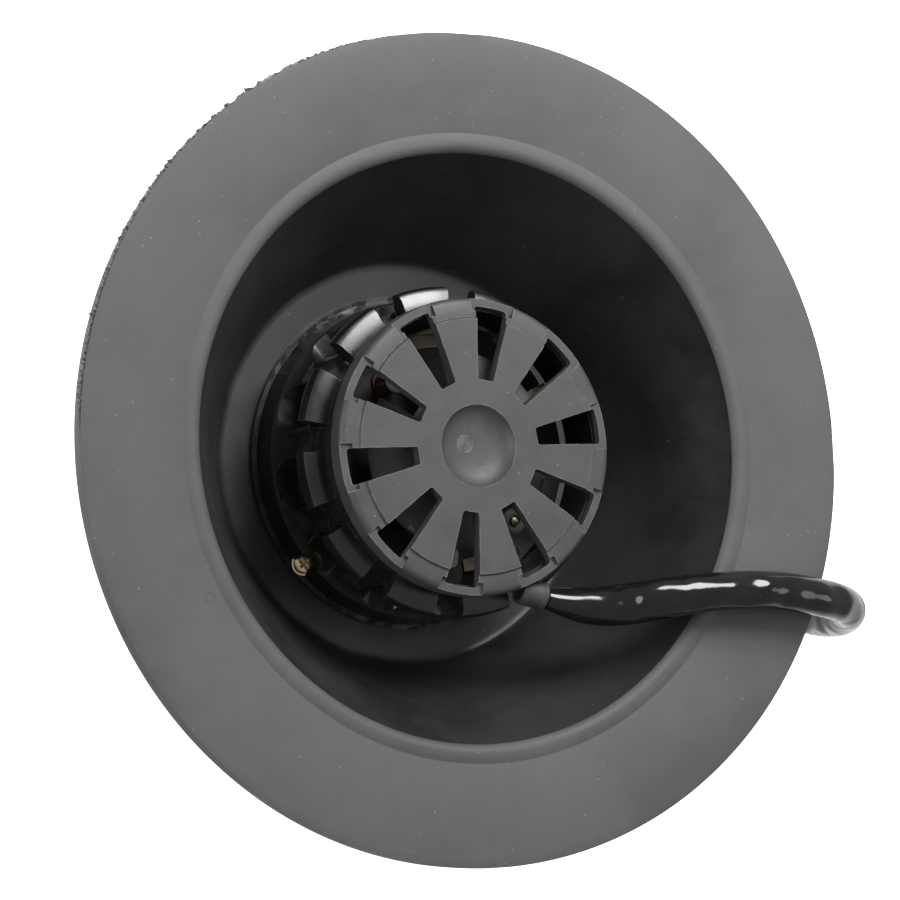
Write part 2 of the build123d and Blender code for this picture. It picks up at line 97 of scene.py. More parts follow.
# lead: the route's points, how full the sleeve is at each, and its twist in degrees
leadSet = {
    "diameter": 0.0096,
    "length": 0.285,
    # how far each point of the section lies out
    "fold": (1.0, 1.03, 1.07, 1.04, 0.98, 0.88, 0.83, 0.9, 1.0, 1.08, 1.05, 1.0),
    "route": [
        (0.0208, -0.0381, 0.0804, 0.54, 40),
        (0.0275, -0.0398, 0.0804, 0.84, 60),
        (0.0372, -0.0412, 0.0838, 1.04, 90),
        (0.0490, -0.0397, 0.0918, 1.05, 130),
        (0.0645, -0.0384, 0.0936, 1.04, 175),
        (0.0805, -0.0384, 0.0938, 1.03, 205),
        (0.0960, -0.0408, 0.0938, 1.0, 230),
        (0.1085, -0.0432, 0.0868, 1.0, 250),
        (0.1160, -0.0455, 0.0700, 1.0, 250),
        (0.1195, -0.0440, 0.0484, 1.0, 270),
        (0.1180, -0.0360, 0.0264, 1.0, 290),
        (0.1115, -0.0220, 0.0100, 1.0, 290),
        (0.1030, -0.0040, 0.0056, 1.0, 300),
        (0.0930, 0.0180, 0.0056, 1.0, 320),
        (0.0770, 0.0430, 0.0056, 1.0, 340),
        (0.0550, 0.0610, 0.0052, 0.92, 360),
    ],
}


def makeFold(s):                       # the sleeve's section: flattened, with one soft hollow
    data = bpy.data.curves.new("sleeveFold", "CURVE")
    spline = data.splines.new("NURBS")
    spline.points.add(len(s["fold"]) - 1)
    for index, (point, share) in enumerate(zip(spline.points, s["fold"])):
        turn = 2 * pi * index / len(s["fold"])
        size = share * s["diameter"] / 2 * 1.11
        point.co = (size * cos(turn), size * sin(turn) * 0.96, 0, 1)
    spline.order_u = 4
    spline.use_cyclic_u = True
    spline.resolution_u = 4
    fold = bpy.data.objects.new("sleeveFold", data)
    scene.collection.objects.link(fold)
    return fold


def makeLead(s):
    data = bpy.data.curves.new("leadSleeve", "CURVE")
    data.dimensions = "3D"
    spline = data.splines.new("NURBS")
    spline.points.add(len(s["route"]) - 1)
    for point, (x, y, z, full, twist) in zip(spline.points, s["route"]):
        point.co = (x, y, z, 1)
        point.radius = full
        point.tilt = radians(twist)
    spline.order_u = 3
    spline.use_endpoint_u = True
    spline.resolution_u = 18
    lead = bpy.data.objects.new("leadSleeve", data)
    scene.collection.objects.link(lead)
    line = bpy.data.meshes.new_from_object(lead)
    bpy.data.meshes.remove(line)
    fold = makeFold(s)
    data.bevel_mode = "OBJECT"
    data.bevel_object = fold
    data.use_fill_caps = True
    pick(lead)
    bpy.ops.object.convert(target="MESH")
    lead = bpy.context.object
    bpy.ops.object.mode_set(mode="EDIT")
    bpy.ops.mesh.select_all(action="SELECT")
    bpy.ops.mesh.remove_doubles(threshold=1e-6)
    bpy.ops.mesh.select_all(action="SELECT")
    bpy.ops.mesh.normals_make_consistent(inside=False)
    bpy.ops.object.mode_set(mode="OBJECT")
    bpy.ops.object.shade_smooth_by_angle(angle=radians(50))
    bpy.data.objects.remove(fold, do_unlink=True)
    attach(lead, "stator")
    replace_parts(lead, "lead_sleeve")
    return lead


lead = makeLead(leadSet)
print("lead laid")


# shaping: outlines drawn point by point, then spun, thickened, bevelled or cut
def drawOutline(name, outline, plane="XZ"):
    deselectAll()

    def place(a, b):
        return (a * mm, 0, b * mm) if plane == "XZ" else (a * mm, b * mm, 0)

    bpy.ops.mesh.primitive_plane_add(size=mm, location=place(*outline[0]))
    obj = bpy.context.object
    obj.name = name
    bpy.ops.object.transform_apply(location=True, rotation=False, scale=False)
    bpy.ops.object.mode_set(mode="EDIT")
    bpy.ops.mesh.merge(type="CENTER")
    for before, after in zip(outline, outline[1:]):
        step = place(after[0] - before[0], after[1] - before[1])
        bpy.ops.mesh.extrude_vertices_move(TRANSFORM_OT_translate={"value": step})
    bpy.ops.mesh.select_all(action="SELECT")
    bpy.ops.mesh.remove_doubles(threshold=1e-6)
    bpy.ops.mesh.select_all(action="SELECT")
    return obj


def cleanUp(obj):
    bpy.ops.mesh.select_all(action="SELECT")
    bpy.ops.mesh.remove_doubles(threshold=1e-6)
    bpy.ops.mesh.select_all(action="SELECT")
    bpy.ops.mesh.normals_make_consistent(inside=False)
    bpy.ops.object.mode_set(mode="OBJECT")
    return obj


def spun(name, outline, steps=192):    # full turn about the motor axis
    obj = drawOutline(name, outline)
    bpy.ops.mesh.spin(steps=steps, angle=radians(360), center=(0, 0, 0), axis=(0, 0, 1),
                      use_auto_merge=True)
    return cleanUp(obj)


def sector(name, inner, outer, angle, width, foot, top, steps=8):
    obj = drawOutline(name, [(inner, foot), (outer, foot), (outer, top), (inner, top), (inner, foot)])
    bpy.ops.mesh.edge_face_add()
    bpy.ops.mesh.select_all(action="SELECT")
    bpy.ops.mesh.spin(steps=steps, angle=radians(width), center=(0, 0, 0), axis=(0, 0, 1))
    cleanUp(obj)
    return turned(obj, angle + width / 2)


def block(name, size, middle, angle=0):
    deselectAll()
    bpy.ops.mesh.primitive_cube_add(size=1, location=[v * mm for v in middle])
    obj = bpy.context.object
    obj.name = name
    obj.scale = [v * mm for v in size]
    bpy.ops.object.transform_apply(location=True, rotation=False, scale=True)
    return turned(obj, angle)


def turned(obj, angle):                # about the motor axis
    pick(obj)
    obj.rotation_euler.z = radians(angle)
    bpy.ops.object.transform_apply(location=True, rotation=True, scale=True)
    return obj


def moved(obj, x, y, z):
    pick(obj)
    obj.location = (x * mm, y * mm, z * mm)
    bpy.ops.object.transform_apply(location=True, rotation=False, scale=False)
    return obj


def copied(obj, angle):
    pick(obj)
    bpy.ops.object.duplicate()
    return turned(bpy.context.object, angle)


def around(obj, count, first=0):       # count copies at even steps, the last one being obj itself
    copies = [copied(obj, first + index * 360 / count) for index in range(1, count)]
    turned(obj, first)
    return joined([obj] + copies)


def joined(objs):
    pick(*objs)
    if len(objs) > 1:
        bpy.ops.object.join()
    return bpy.context.object


def applied(obj, kind, **values):
    pick(obj)
    modifier = obj.modifiers.new(kind.lower(), kind)
    for key, value in values.items():
        setattr(modifier, key, value)
    bpy.ops.object.modifier_apply(modifier=modifier.name)
    return obj


def bevelled(obj, width, segments=3, angle=30):
    return applied(obj, "BEVEL", width=width * mm, segments=segments, limit_method="ANGLE",
                   angle_limit=radians(angle), use_clamp_overlap=True, miter_outer="MITER_ARC")


def carved(obj, cutters):
    for cutter in cutters:
        applied(obj, "BOOLEAN", operation="DIFFERENCE", solver="EXACT", object=cutter)
        deselectAll()
        bpy.data.objects.remove(cutter, do_unlink=True)
    return obj


def smoothed(obj, angle=35):
    pick(obj)
    bpy.ops.object.shade_smooth_by_angle(angle=radians(angle))
    return obj


def arc(middle, radius, start, end, count):
    points = []
    for index in range(count + 1):
        turn = radians(start + (end - start) * index / count)
        points.append((middle[0] + radius * cos(turn), middle[1] + radius * sin(turn)))
    return points


def polar(radius, angle):
    return radius * cos(radians(angle)), radius * sin(radians(angle))


def placed(obj, body, node):
    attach(obj, body)
    if node:
        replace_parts(obj, *([node] if isinstance(node, str) else node))
    return obj


def raisedRing(name, radius, half, foot, crest, steps):
    slim = half - 0.06                 # half the width at the crest
    outline = [(radius - half, foot), (radius + half, foot), (radius + slim, crest), (radius - slim, crest),
               (radius - half, foot)]
    return spun(name, outline, steps)


# places that several pieces share
screwPlace = {"circle": 41.3, "angles": (39.85, 219.85)}
passageSet = {"radius": 3.7, "inwards": 12, "outwards": 6}


def alongLead(obj):                    # a piece made about Z is laid on the lead's first run
    start, ahead = [Vector(point[:3]) for point in leadSet["route"][:2]]
    pick(obj)
    obj.rotation_mode = "QUATERNION"
    obj.rotation_quaternion = (ahead - start).to_track_quat("Z", "Y")
    obj.location = start
    bpy.ops.object.transform_apply(location=True, rotation=True, scale=True)
    return obj


def leadPassage(s):
    near, far = -s["inwards"], s["outwards"]
    return alongLead(spun("passage", [(0, near), (s["radius"], near), (s["radius"], far), (0, far)], 48))


def screwCutter(radius, foot, top, angle, steps):
    cutter = spun("screwCutter", [(0, foot), (radius, foot), (radius, top), (0, top)], steps)
    return moved(cutter, *polar(screwPlace["circle"], angle), 0)


def low(node):
    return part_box(node)[0][2] / mm


def high(node):
    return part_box(node)[1][2] / mm


def reach(node):                       # outer radius of a round node
    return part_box(node)[1][0] / mm


# materials: shared groups give masks, colours and normals, the shader stays in each material
def newGroup(name, inputs, outputs):
    group = bpy.data.node_groups.new(name, "ShaderNodeTree")
    for label, kind, value in inputs:
        socket = group.interface.new_socket(label, in_out="INPUT", socket_type=kind)
        if value is not None:
            socket.default_value = value
    for label, kind in outputs:
        group.interface.new_socket(label, in_out="OUTPUT", socket_type=kind)
    return group, group.nodes.new("NodeGroupInput"), group.nodes.new("NodeGroupOutput")


def mapped(group, value, lowIn, highIn, lowOut=0.0, highOut=1.0):
    node = group.nodes.new("ShaderNodeMapRange")
    node.interpolation_type = "SMOOTHSTEP"
    for label, number in (("From Min", lowIn), ("From Max", highIn),
                          ("To Min", lowOut), ("To Max", highOut)):
        node.inputs[label].default_value = number
    group.links.new(value, node.inputs["Value"])
    return node.outputs["Result"]


def makeMottle():                      # slow, cloudy change between two tones
    group, inside, out = newGroup("mottle", [("Vector", "NodeSocketVector", None),
                                             ("Scale", "NodeSocketFloat", 60.0)],
                                  [("Fac", "NodeSocketFloat")])
    cloud = group.nodes.new("ShaderNodeTexNoise")
    cloud.inputs["Detail"].default_value = 6
    cloud.inputs["Roughness"].default_value = 0.62
    group.links.new(inside.outputs["Vector"], cloud.inputs["Vector"])
    group.links.new(inside.outputs["Scale"], cloud.inputs["Scale"])
    group.links.new(mapped(group, cloud.outputs["Fac"], 0.34, 0.66), out.inputs["Fac"])
    return group


def makeGrain():                       # fine moulded or blasted surface
    group, inside, out = newGroup("grain", [("Vector", "NodeSocketVector", None),
                                            ("Scale", "NodeSocketFloat", 2500.0),
                                            ("Strength", "NodeSocketFloat", 0.2),
                                            ("Normal", "NodeSocketVector", None)],
                                  [("Normal", "NodeSocketVector")])
    cloud = group.nodes.new("ShaderNodeTexNoise")
    cloud.inputs["Detail"].default_value = 3
    bump = group.nodes.new("ShaderNodeBump")
    bump.inputs["Distance"].default_value = 0.0003
    group.links.new(inside.outputs["Vector"], cloud.inputs["Vector"])
    group.links.new(inside.outputs["Scale"], cloud.inputs["Scale"])
    group.links.new(cloud.outputs["Fac"], bump.inputs["Height"])
    group.links.new(inside.outputs["Strength"], bump.inputs["Strength"])
    group.links.new(bump.outputs["Normal"], out.inputs["Normal"])
    return group


def makeSpecks():                      # scattered dust specks and lint
    group, inside, out = newGroup("specks", [("Vector", "NodeSocketVector", None),
                                             ("Scale", "NodeSocketFloat", 500.0),
                                             ("Amount", "NodeSocketFloat", 0.3)],
                                  [("Mask", "NodeSocketFloat")])
    cells = group.nodes.new("ShaderNodeTexVoronoi")
    cells.inputs["Randomness"].default_value = 1.0
    chosen = group.nodes.new("ShaderNodeSeparateColor")
    times = group.nodes.new("ShaderNodeMath")
    times.operation = "MULTIPLY"
    again = group.nodes.new("ShaderNodeMath")
    again.operation = "MULTIPLY"
    group.links.new(inside.outputs["Vector"], cells.inputs["Vector"])
    group.links.new(inside.outputs["Scale"], cells.inputs["Scale"])
    group.links.new(cells.outputs["Color"], chosen.inputs["Color"])
    group.links.new(mapped(group, cells.outputs["Distance"], 0.04, 0.14, 1.0, 0.0), times.inputs[0])
    group.links.new(mapped(group, chosen.outputs["Red"], 0.8, 1.0), times.inputs[1])
    group.links.new(times.outputs["Value"], again.inputs[0])
    group.links.new(inside.outputs["Amount"], again.inputs[1])
    group.links.new(again.outputs["Value"], out.inputs["Mask"])
    return group


def makeEdgeWearAndHighlight():                        # lighter edges, broken up by noise: partly rubbed wear, partly a painted highlight on the edges
    group, inside, out = newGroup("edgeWearAndHighlight", [("Vector", "NodeSocketVector", None),
                                           ("Amount", "NodeSocketFloat", 0.5)],
                                  [("Mask", "NodeSocketFloat")])
    shape = group.nodes.new("ShaderNodeNewGeometry")
    rounded = group.nodes.new("ShaderNodeBevel")
    rounded.samples = 4
    rounded.inputs["Radius"].default_value = 0.00035
    match = group.nodes.new("ShaderNodeVectorMath")
    match.operation = "DOT_PRODUCT"
    cloud = group.nodes.new("ShaderNodeTexNoise")
    cloud.inputs["Scale"].default_value = 420
    cloud.inputs["Detail"].default_value = 4
    times = group.nodes.new("ShaderNodeMath")
    times.operation = "MULTIPLY"
    again = group.nodes.new("ShaderNodeMath")
    again.operation = "MULTIPLY"
    group.links.new(inside.outputs["Vector"], cloud.inputs["Vector"])
    group.links.new(rounded.outputs["Normal"], match.inputs[0])
    group.links.new(shape.outputs["Normal"], match.inputs[1])
    group.links.new(mapped(group, match.outputs["Value"], 0.86, 0.985, 1.0, 0.0), times.inputs[0])
    group.links.new(mapped(group, cloud.outputs["Fac"], 0.4, 0.6, 0.25, 1.0), times.inputs[1])
    group.links.new(times.outputs["Value"], again.inputs[0])
    group.links.new(inside.outputs["Amount"], again.inputs[1])
    group.links.new(again.outputs["Value"], out.inputs["Mask"])
    return group


groups = {"mottle": makeMottle(), "grain": makeGrain(), "specks": makeSpecks(), "edgeWearAndHighlight": makeEdgeWearAndHighlight()}


def usedGroup(tree, name, **values):
    node = tree.nodes.new("ShaderNodeGroup")
    node.node_tree = groups[name]
    for label, value in values.items():
        node.inputs[label].default_value = value
    return node


def mixed(tree, mask, first, second):
    node = tree.nodes.new("ShaderNodeMix")
    node.data_type = "RGBA"
    tree.links.new(mask, node.inputs["Factor"])
    for socket, value in ((node.inputs["A"], first), (node.inputs["B"], second)):
        if isinstance(value, tuple):
            socket.default_value = (*value, 1)
        else:
            tree.links.new(value, socket)
    return node.outputs["Result"]


def makeMaterial(name, s):
    material = bpy.data.materials.new(name)
    material.use_nodes = True
    tree = material.node_tree
    shader = tree.nodes["Principled BSDF"]
    place = tree.nodes.new("ShaderNodeTexCoord").outputs["Object"]
    if "stretch" in s:                 # drawn or turned marks run round the axis or along it
        spread = tree.nodes.new("ShaderNodeMapping")
        spread.inputs["Scale"].default_value = s["stretch"]
        tree.links.new(place, spread.inputs["Vector"])
        place = spread.outputs["Vector"]
    mottle = usedGroup(tree, "mottle", Scale=s.get("mottle", 70.0))
    grain = usedGroup(tree, "grain", Scale=s.get("grain", 2500.0), Strength=s.get("bump", 0.15))
    tree.links.new(place, mottle.inputs["Vector"])
    tree.links.new(place, grain.inputs["Vector"])
    color = mixed(tree, mottle.outputs["Fac"], s["dark"], s["light"])
    if "rings" in s:                   # faint turned lines about the axis
        lines = tree.nodes.new("ShaderNodeTexWave")
        lines.wave_type = "RINGS"
        lines.rings_direction = "Z"
        lines.inputs["Scale"].default_value = 520
        lines.inputs["Distortion"].default_value = 2.0
        lines.inputs["Detail"].default_value = 3
        share = tree.nodes.new("ShaderNodeMath")
        share.operation = "MULTIPLY"
        share.inputs[1].default_value = s["rings"]
        tree.links.new(place, lines.inputs["Vector"])
        tree.links.new(lines.outputs["Fac"], share.inputs[0])
        color = mixed(tree, share.outputs["Value"], color, tuple(v * 1.6 for v in s["light"]))
    if "film" in s:
        film = usedGroup(tree, "mottle", Scale=17.0)
        tree.links.new(place, film.inputs["Vector"])
        color = mixed(tree, film.outputs["Fac"], color, s["film"])
    # edges turned lighter: rubbed wear together with a painted edge highlight
    if s.get("edgeWearAndHighlight"):
        edgeWearAndHighlight = usedGroup(tree, "edgeWearAndHighlight", Amount=s["edgeWearAndHighlight"])
        tree.links.new(place, edgeWearAndHighlight.inputs["Vector"])
        color = mixed(tree, edgeWearAndHighlight.outputs["Mask"], color, s["edgeWearAndHighlightTone"])
    if s.get("specks"):
        specks = usedGroup(tree, "specks", Amount=s["specks"], Scale=s.get("speckScale", 450.0))
        tree.links.new(place, specks.inputs["Vector"])
        color = mixed(tree, specks.outputs["Mask"], color, s.get("dust", (0.32, 0.31, 0.29)))
    tree.links.new(color, shader.inputs["Base Color"])
    rough = tree.nodes.new("ShaderNodeMapRange")
    rough.inputs["To Min"].default_value = s["rough"] - s.get("swing", 0.06)
    rough.inputs["To Max"].default_value = s["rough"] + s.get("swing", 0.06)
    tree.links.new(mottle.outputs["Fac"], rough.inputs["Value"])
    tree.links.new(rough.outputs["Result"], shader.inputs["Roughness"])
    tree.links.new(grain.outputs["Normal"], shader.inputs["Normal"])
    shader.inputs["Metallic"].default_value = s.get("metal", 0.0)
    shader.inputs["Specular IOR Level"].default_value = s.get("specular", 0.5)
    shader.inputs["Coat Weight"].default_value = s.get("coat", 0.0)
    shader.inputs["Coat Roughness"].default_value = 0.12
    shader.inputs["Sheen Weight"].default_value = s.get("sheen", 0.0)
    return material


# the edge entries in these finishes turn edges lighter: partly rubbed wear, partly painted highlight
finishes = {
    "carrierRubber": {"dark": (0.054, 0.054, 0.055), "light": (0.070, 0.070, 0.071), "rough": 0.62,
                      "mottle": 38.0, "bump": 0.16, "grain": 2600.0, "specks": 0.5, "speckScale": 480.0,
                      "specular": 0.4},
    # glossier plastic for the bowl; its darker base colour is painted shade of the recess
    "bowlPlasticPaintedShade": {"dark": (0.011, 0.011, 0.0112), "light": (0.016, 0.016, 0.0162), "rough": 0.43,
                    "mottle": 60.0, "film": (0.023, 0.0225, 0.0217), "bump": 0.07, "grain": 1600.0,
                    "specks": 0.6, "speckScale": 380.0, "dust": (0.16, 0.15, 0.14), "specular": 0.55},
    "cagePlastic": {"dark": (0.006, 0.006, 0.0062), "light": (0.011, 0.011, 0.0113), "rough": 0.28,
                    "bump": 0.05, "edgeWearAndHighlight": 0.45, "edgeWearAndHighlightTone": (0.12, 0.12, 0.12), "specks": 0.3,
                    "specular": 0.6},
    "capPlastic": {"dark": (0.029, 0.029, 0.0295), "light": (0.040, 0.040, 0.0405), "rough": 0.54,
                   "mottle": 110.0, "rings": 0.16, "bump": 0.14, "grain": 3200.0, "edgeWearAndHighlight": 0.8,
                   "edgeWearAndHighlightTone": (0.22, 0.22, 0.22), "specks": 0.4},
    "canSteel": {"dark": (0.36, 0.36, 0.37), "light": (0.52, 0.52, 0.53), "rough": 0.36, "metal": 1.0,
                 "stretch": (1, 1, 9), "bump": 0.1},
    "clampSteel": {"dark": (0.030, 0.030, 0.034), "light": (0.052, 0.052, 0.056), "rough": 0.5,
                   "bump": 0.12, "edgeWearAndHighlight": 0.5, "edgeWearAndHighlightTone": (0.3, 0.3, 0.3)},
    "screwZinc": {"dark": (0.62, 0.50, 0.28), "light": (0.82, 0.72, 0.48), "rough": 0.3, "metal": 1.0,
                  "bump": 0.06},
    "magnetFerrite": {"dark": (0.045, 0.045, 0.050), "light": (0.085, 0.085, 0.090), "rough": 0.7,
                      "bump": 0.3, "grain": 1800.0},
    "springSteel": {"dark": (0.42, 0.42, 0.42), "light": (0.62, 0.62, 0.62), "rough": 0.26,
                    "metal": 1.0},
    "bearingBronze": {"dark": (0.42, 0.27, 0.11), "light": (0.60, 0.42, 0.20), "rough": 0.48,
                      "metal": 1.0, "bump": 0.2, "grain": 1500.0},
    "shaftSteel": {"dark": (0.52, 0.52, 0.53), "light": (0.72, 0.72, 0.73), "rough": 0.2, "metal": 1.0,
                   "stretch": (1, 1, 30), "bump": 0.05},
    "commutatorCopper": {"dark": (0.58, 0.27, 0.14), "light": (0.82, 0.46, 0.28), "rough": 0.26,
                         "metal": 1.0, "stretch": (1, 1, 26), "bump": 0.1},
    "coreSteel": {"dark": (0.20, 0.20, 0.21), "light": (0.38, 0.38, 0.39), "rough": 0.42, "metal": 1.0,
                  "stretch": (0.4, 0.4, 40), "bump": 0.35, "grain": 900.0},
    "insulatorFibre": {"dark": (0.17, 0.10, 0.05), "light": (0.27, 0.17, 0.09), "rough": 0.62,
                       "bump": 0.25},
    "windingCopper": {"dark": (0.36, 0.11, 0.035), "light": (0.60, 0.24, 0.09), "rough": 0.24,
                      "metal": 0.8, "coat": 0.5, "bump": 0.12},
    # the card and the brass parts inside are coloured far darker than laminate and brass: painted shade for
    # the motor's inside seen through the slots
    "cardLaminatePaintedShade": {"dark": (0.014, 0.012, 0.010), "light": (0.026, 0.022, 0.018), "rough": 0.58,
                     "bump": 0.2},
    "holderBrassPaintedShade": {"dark": (0.12, 0.105, 0.075), "light": (0.24, 0.21, 0.15), "rough": 0.34,
                    "metal": 1.0, "bump": 0.06, "edgeWearAndHighlight": 0.4, "edgeWearAndHighlightTone": (0.75, 0.70, 0.56)},
    "brushCarbon": {"dark": (0.022, 0.022, 0.024), "light": (0.052, 0.052, 0.055), "rough": 0.5,
                    "bump": 0.2},
    "chokeFerrite": {"dark": (0.030, 0.028, 0.027), "light": (0.060, 0.056, 0.052), "rough": 0.6,
                     "bump": 0.2},
    "capacitorShell": {"dark": (0.30, 0.27, 0.18), "light": (0.42, 0.38, 0.27), "rough": 0.32,
                       "coat": 0.4},
    "coverPlastic": {"dark": (0.045, 0.045, 0.047), "light": (0.070, 0.070, 0.073), "rough": 0.52,
                     "bump": 0.2},
    "fanPlastic": {"dark": (0.020, 0.020, 0.022), "light": (0.034, 0.034, 0.036), "rough": 0.42,
                   "bump": 0.1, "edgeWearAndHighlight": 0.4, "edgeWearAndHighlightTone": (0.10, 0.10, 0.10), "specks": 0.5},
    "grommetRubber": {"dark": (0.016, 0.016, 0.017), "light": (0.030, 0.030, 0.031), "rough": 0.6,
                      "bump": 0.2},
    "connectorPlastic": {"dark": (0.50, 0.48, 0.42), "light": (0.64, 0.62, 0.56), "rough": 0.38,
                         "bump": 0.06, "specks": 0.2, "dust": (0.25, 0.24, 0.22)},
    "terminalTin": {"dark": (0.58, 0.58, 0.56), "light": (0.78, 0.78, 0.76), "rough": 0.22,
                    "metal": 1.0},
}
materials = {name: makeMaterial(name, values) for name, values in finishes.items()}


def sleeveMaterial():                  # glossy vinyl, soft wrinkles across and flats along the run
    material = bpy.data.materials.new("sleeveVinyl")
    material.use_nodes = True
    tree = material.node_tree
    shader = tree.nodes["Principled BSDF"]
    place = tree.nodes.new("ShaderNodeTexCoord").outputs["Object"]
    folds = tree.nodes.new("ShaderNodeTexNoise")
    folds.inputs["Scale"].default_value = 78
    folds.inputs["Detail"].default_value = 1.2
    folds.inputs["Distortion"].default_value = 0.4
    bump = tree.nodes.new("ShaderNodeBump")
    bump.inputs["Strength"].default_value = 0.8
    bump.inputs["Distance"].default_value = 0.003
    grain = usedGroup(tree, "grain", Scale=1500.0, Strength=0.04)
    mottle = usedGroup(tree, "mottle", Scale=90.0)
    specks = usedGroup(tree, "specks", Amount=0.25, Scale=600.0)
    for node in (folds, grain, mottle, specks):
        tree.links.new(place, node.inputs["Vector"])
    color = mixed(tree, mottle.outputs["Fac"], (0.004, 0.004, 0.0042), (0.007, 0.007, 0.0073))
    color = mixed(tree, specks.outputs["Mask"], color, (0.2, 0.19, 0.18))
    tree.links.new(folds.outputs["Fac"], bump.inputs["Height"])
    tree.links.new(grain.outputs["Normal"], bump.inputs["Normal"])
    tree.links.new(bump.outputs["Normal"], shader.inputs["Normal"])
    tree.links.new(color, shader.inputs["Base Color"])
    shader.inputs["Roughness"].default_value = 0.13
    shader.inputs["Specular IOR Level"].default_value = 0.46
    return material


materials["sleeveVinyl"] = sleeveMaterial()


def paint(obj, name):
    obj.data.materials.clear()
    obj.data.materials.append(materials[name])
    return obj


paint(lead, "sleeveVinyl")
print("finishes mixed")

# carrier cup: flange, lip, bowl and floor in one spun outline
cupSet = {
    "flange": 105.0,
    "mouth": 74.3,
    "lip": 2.6,
    "hole": 30.2,
    "floorEdge": 52.8,
    "floorSoft": 1.8,                  # rounding where the floor meets the wall
    "edgeSoft": 0.7,
    "edgeRing": 2.2,                   # a ring of edges this far in keeps the flange's shading flat
    "flangeBack": 42.8,                # underside of the flange above the cup's foot
    "wallTop": 77.6,                   # outside of the wall, at the flange and at the foot
    "wallFoot": 56.2,
    "screwHole": 1.8,
    "lineGap": 2.1,                    # fine moulded line outside the lip
    "swells": ((52, 0.75), (-38, 0.6)),   # the outer edge is out of round: directions and how far, in mm
    "flash": (97, 190, 0.75),          # torn moulding flash along the edge: from, to, and how far
    "mark": (-73.8, -36.4, 1.25),      # ejector mark on the flange
}


def makeCarrierCup(s):
    top, under = high("carrier_cup"), low("carrier_cup")
    floor = low("motor_cage")
    back = under + s["flangeBack"]
    lipMiddle = (s["mouth"] + s["lip"], top - s["lip"])
    line = s["mouth"] + s["lip"] + s["lineGap"]
    wall = Vector((s["mouth"] - s["floorEdge"], top - s["lip"] - floor)).normalized()
    corner = []
    for share in (1.0, 0.55, 0.22, 0.0):
        rise = 0.25 * (1 - share) ** 2 * s["floorSoft"]
        corner.append((s["floorEdge"] - s["floorSoft"] * share, floor + rise))
    corner.append((s["floorEdge"] + wall.x * s["floorSoft"], floor + wall.y * s["floorSoft"]))
    outline = [(s["hole"], floor)] + corner
    outline += arc(lipMiddle, s["lip"], 180, 90, 8)
    outline += [(line, top), (line + 0.2, top - 0.1), (line + 0.5, top - 0.1), (line + 0.7, top)]
    ringed = s["flange"] - s["edgeRing"]
    outline += [(ringed, top), (s["flange"], top), (s["flange"], back), (ringed, back),
                (s["wallTop"], back), (s["wallFoot"], under), (s["hole"], under), (s["hole"], floor)]
    cup = spun("carrierCup", outline, 512)
    holes = []
    for angle in screwPlace["angles"]:
        holes.append(screwCutter(s["screwHole"], under - 1, floor + 1, angle, 24))
    carved(cup, holes)
    bevelled(cup, s["edgeSoft"], 3, 50)
    start, end, far = s["flash"]
    flash = sector("flash", s["flange"] - 0.7, s["flange"], (start + end) / 2, end - start,
                   top - 2.0, top - 0.3, 460)
    for vertex in flash.data.vertices:
        out, turn = vertex.co.xy.length / mm, vertex.co.xy.angle_signed(Vector((1, 0)), 0)
        if out > s["flange"] - 0.3:
            fade = max(0, min(1, (turn - radians(start)) * 5, (radians(end) - turn) * 5))
            torn = 0.45 + 0.4 * noise.noise(vertex.co * 800) + 1.4 * noise.noise(vertex.co * 3100)
            vertex.co.xy *= 1 + fade * far * max(-0.5, torn) / out
            vertex.co.z += fade * 0.3 * mm * noise.noise(vertex.co * 2300)
    cup = joined([cup, flash])
    for vertex in cup.data.vertices:
        out, turn = vertex.co.xy.length / mm, vertex.co.xy.angle_signed(Vector((1, 0)), 0)
        if out > s["flange"] - 1.0:
            shift = sum(size * max(0, cos(turn - radians(middle))) ** 6 for middle, size in s["swells"])
            vertex.co.xy *= 1 + shift / out
            for axis in (0, 1):
                vertex.co[axis] = max(-s["flange"] * mm, min(s["flange"] * mm, vertex.co[axis]))
    x, y, size = s["mark"]
    cup = joined([cup, moved(raisedRing("mark", size, 0.16, top - 0.2, top + 0.05, 32), x, y, 0)])
    smoothed(cup, 32)
    for name in ("carrierRubber", "bowlPlasticPaintedShade"):
        cup.data.materials.append(materials[name])
    for face in cup.data.polygons:     # the bowl is glossier than the flange, and its darker colour is painted shade for the recess; the flange's outer side and the flash get the same colour
        out, level = face.center.xy.length / mm, face.center.z / mm
        inBowl = out < s["mouth"] + 0.5 and level < top - s["lip"] + 1.2
        face.material_index = 1 if inBowl or out > s["flange"] - 0.6 and level < top - 0.2 else 0
    return placed(cup, "stator", "carrier_cup")


makeCarrierCup(cupSet)
print("carrier cup made")

# end cap: turned shell with ten slots, each with a lowered piece of rim across its end
capSet = {
    "slots": 10,
    "firstSlot": 8.4,
    "slotInner": 16.8,
    "slotOuter": 35.6,
    "slotWidth": 15.0,
    "slotSoft": 1.3,
    "stepWidth": 19.0,
    "stepDrop": 1.7,
    "soft": 0.22,
    "gate": (-2.4, 0.7),               # moulding mark in the dish
    "gateRings": (0.7, 1.35, 2.05),
}


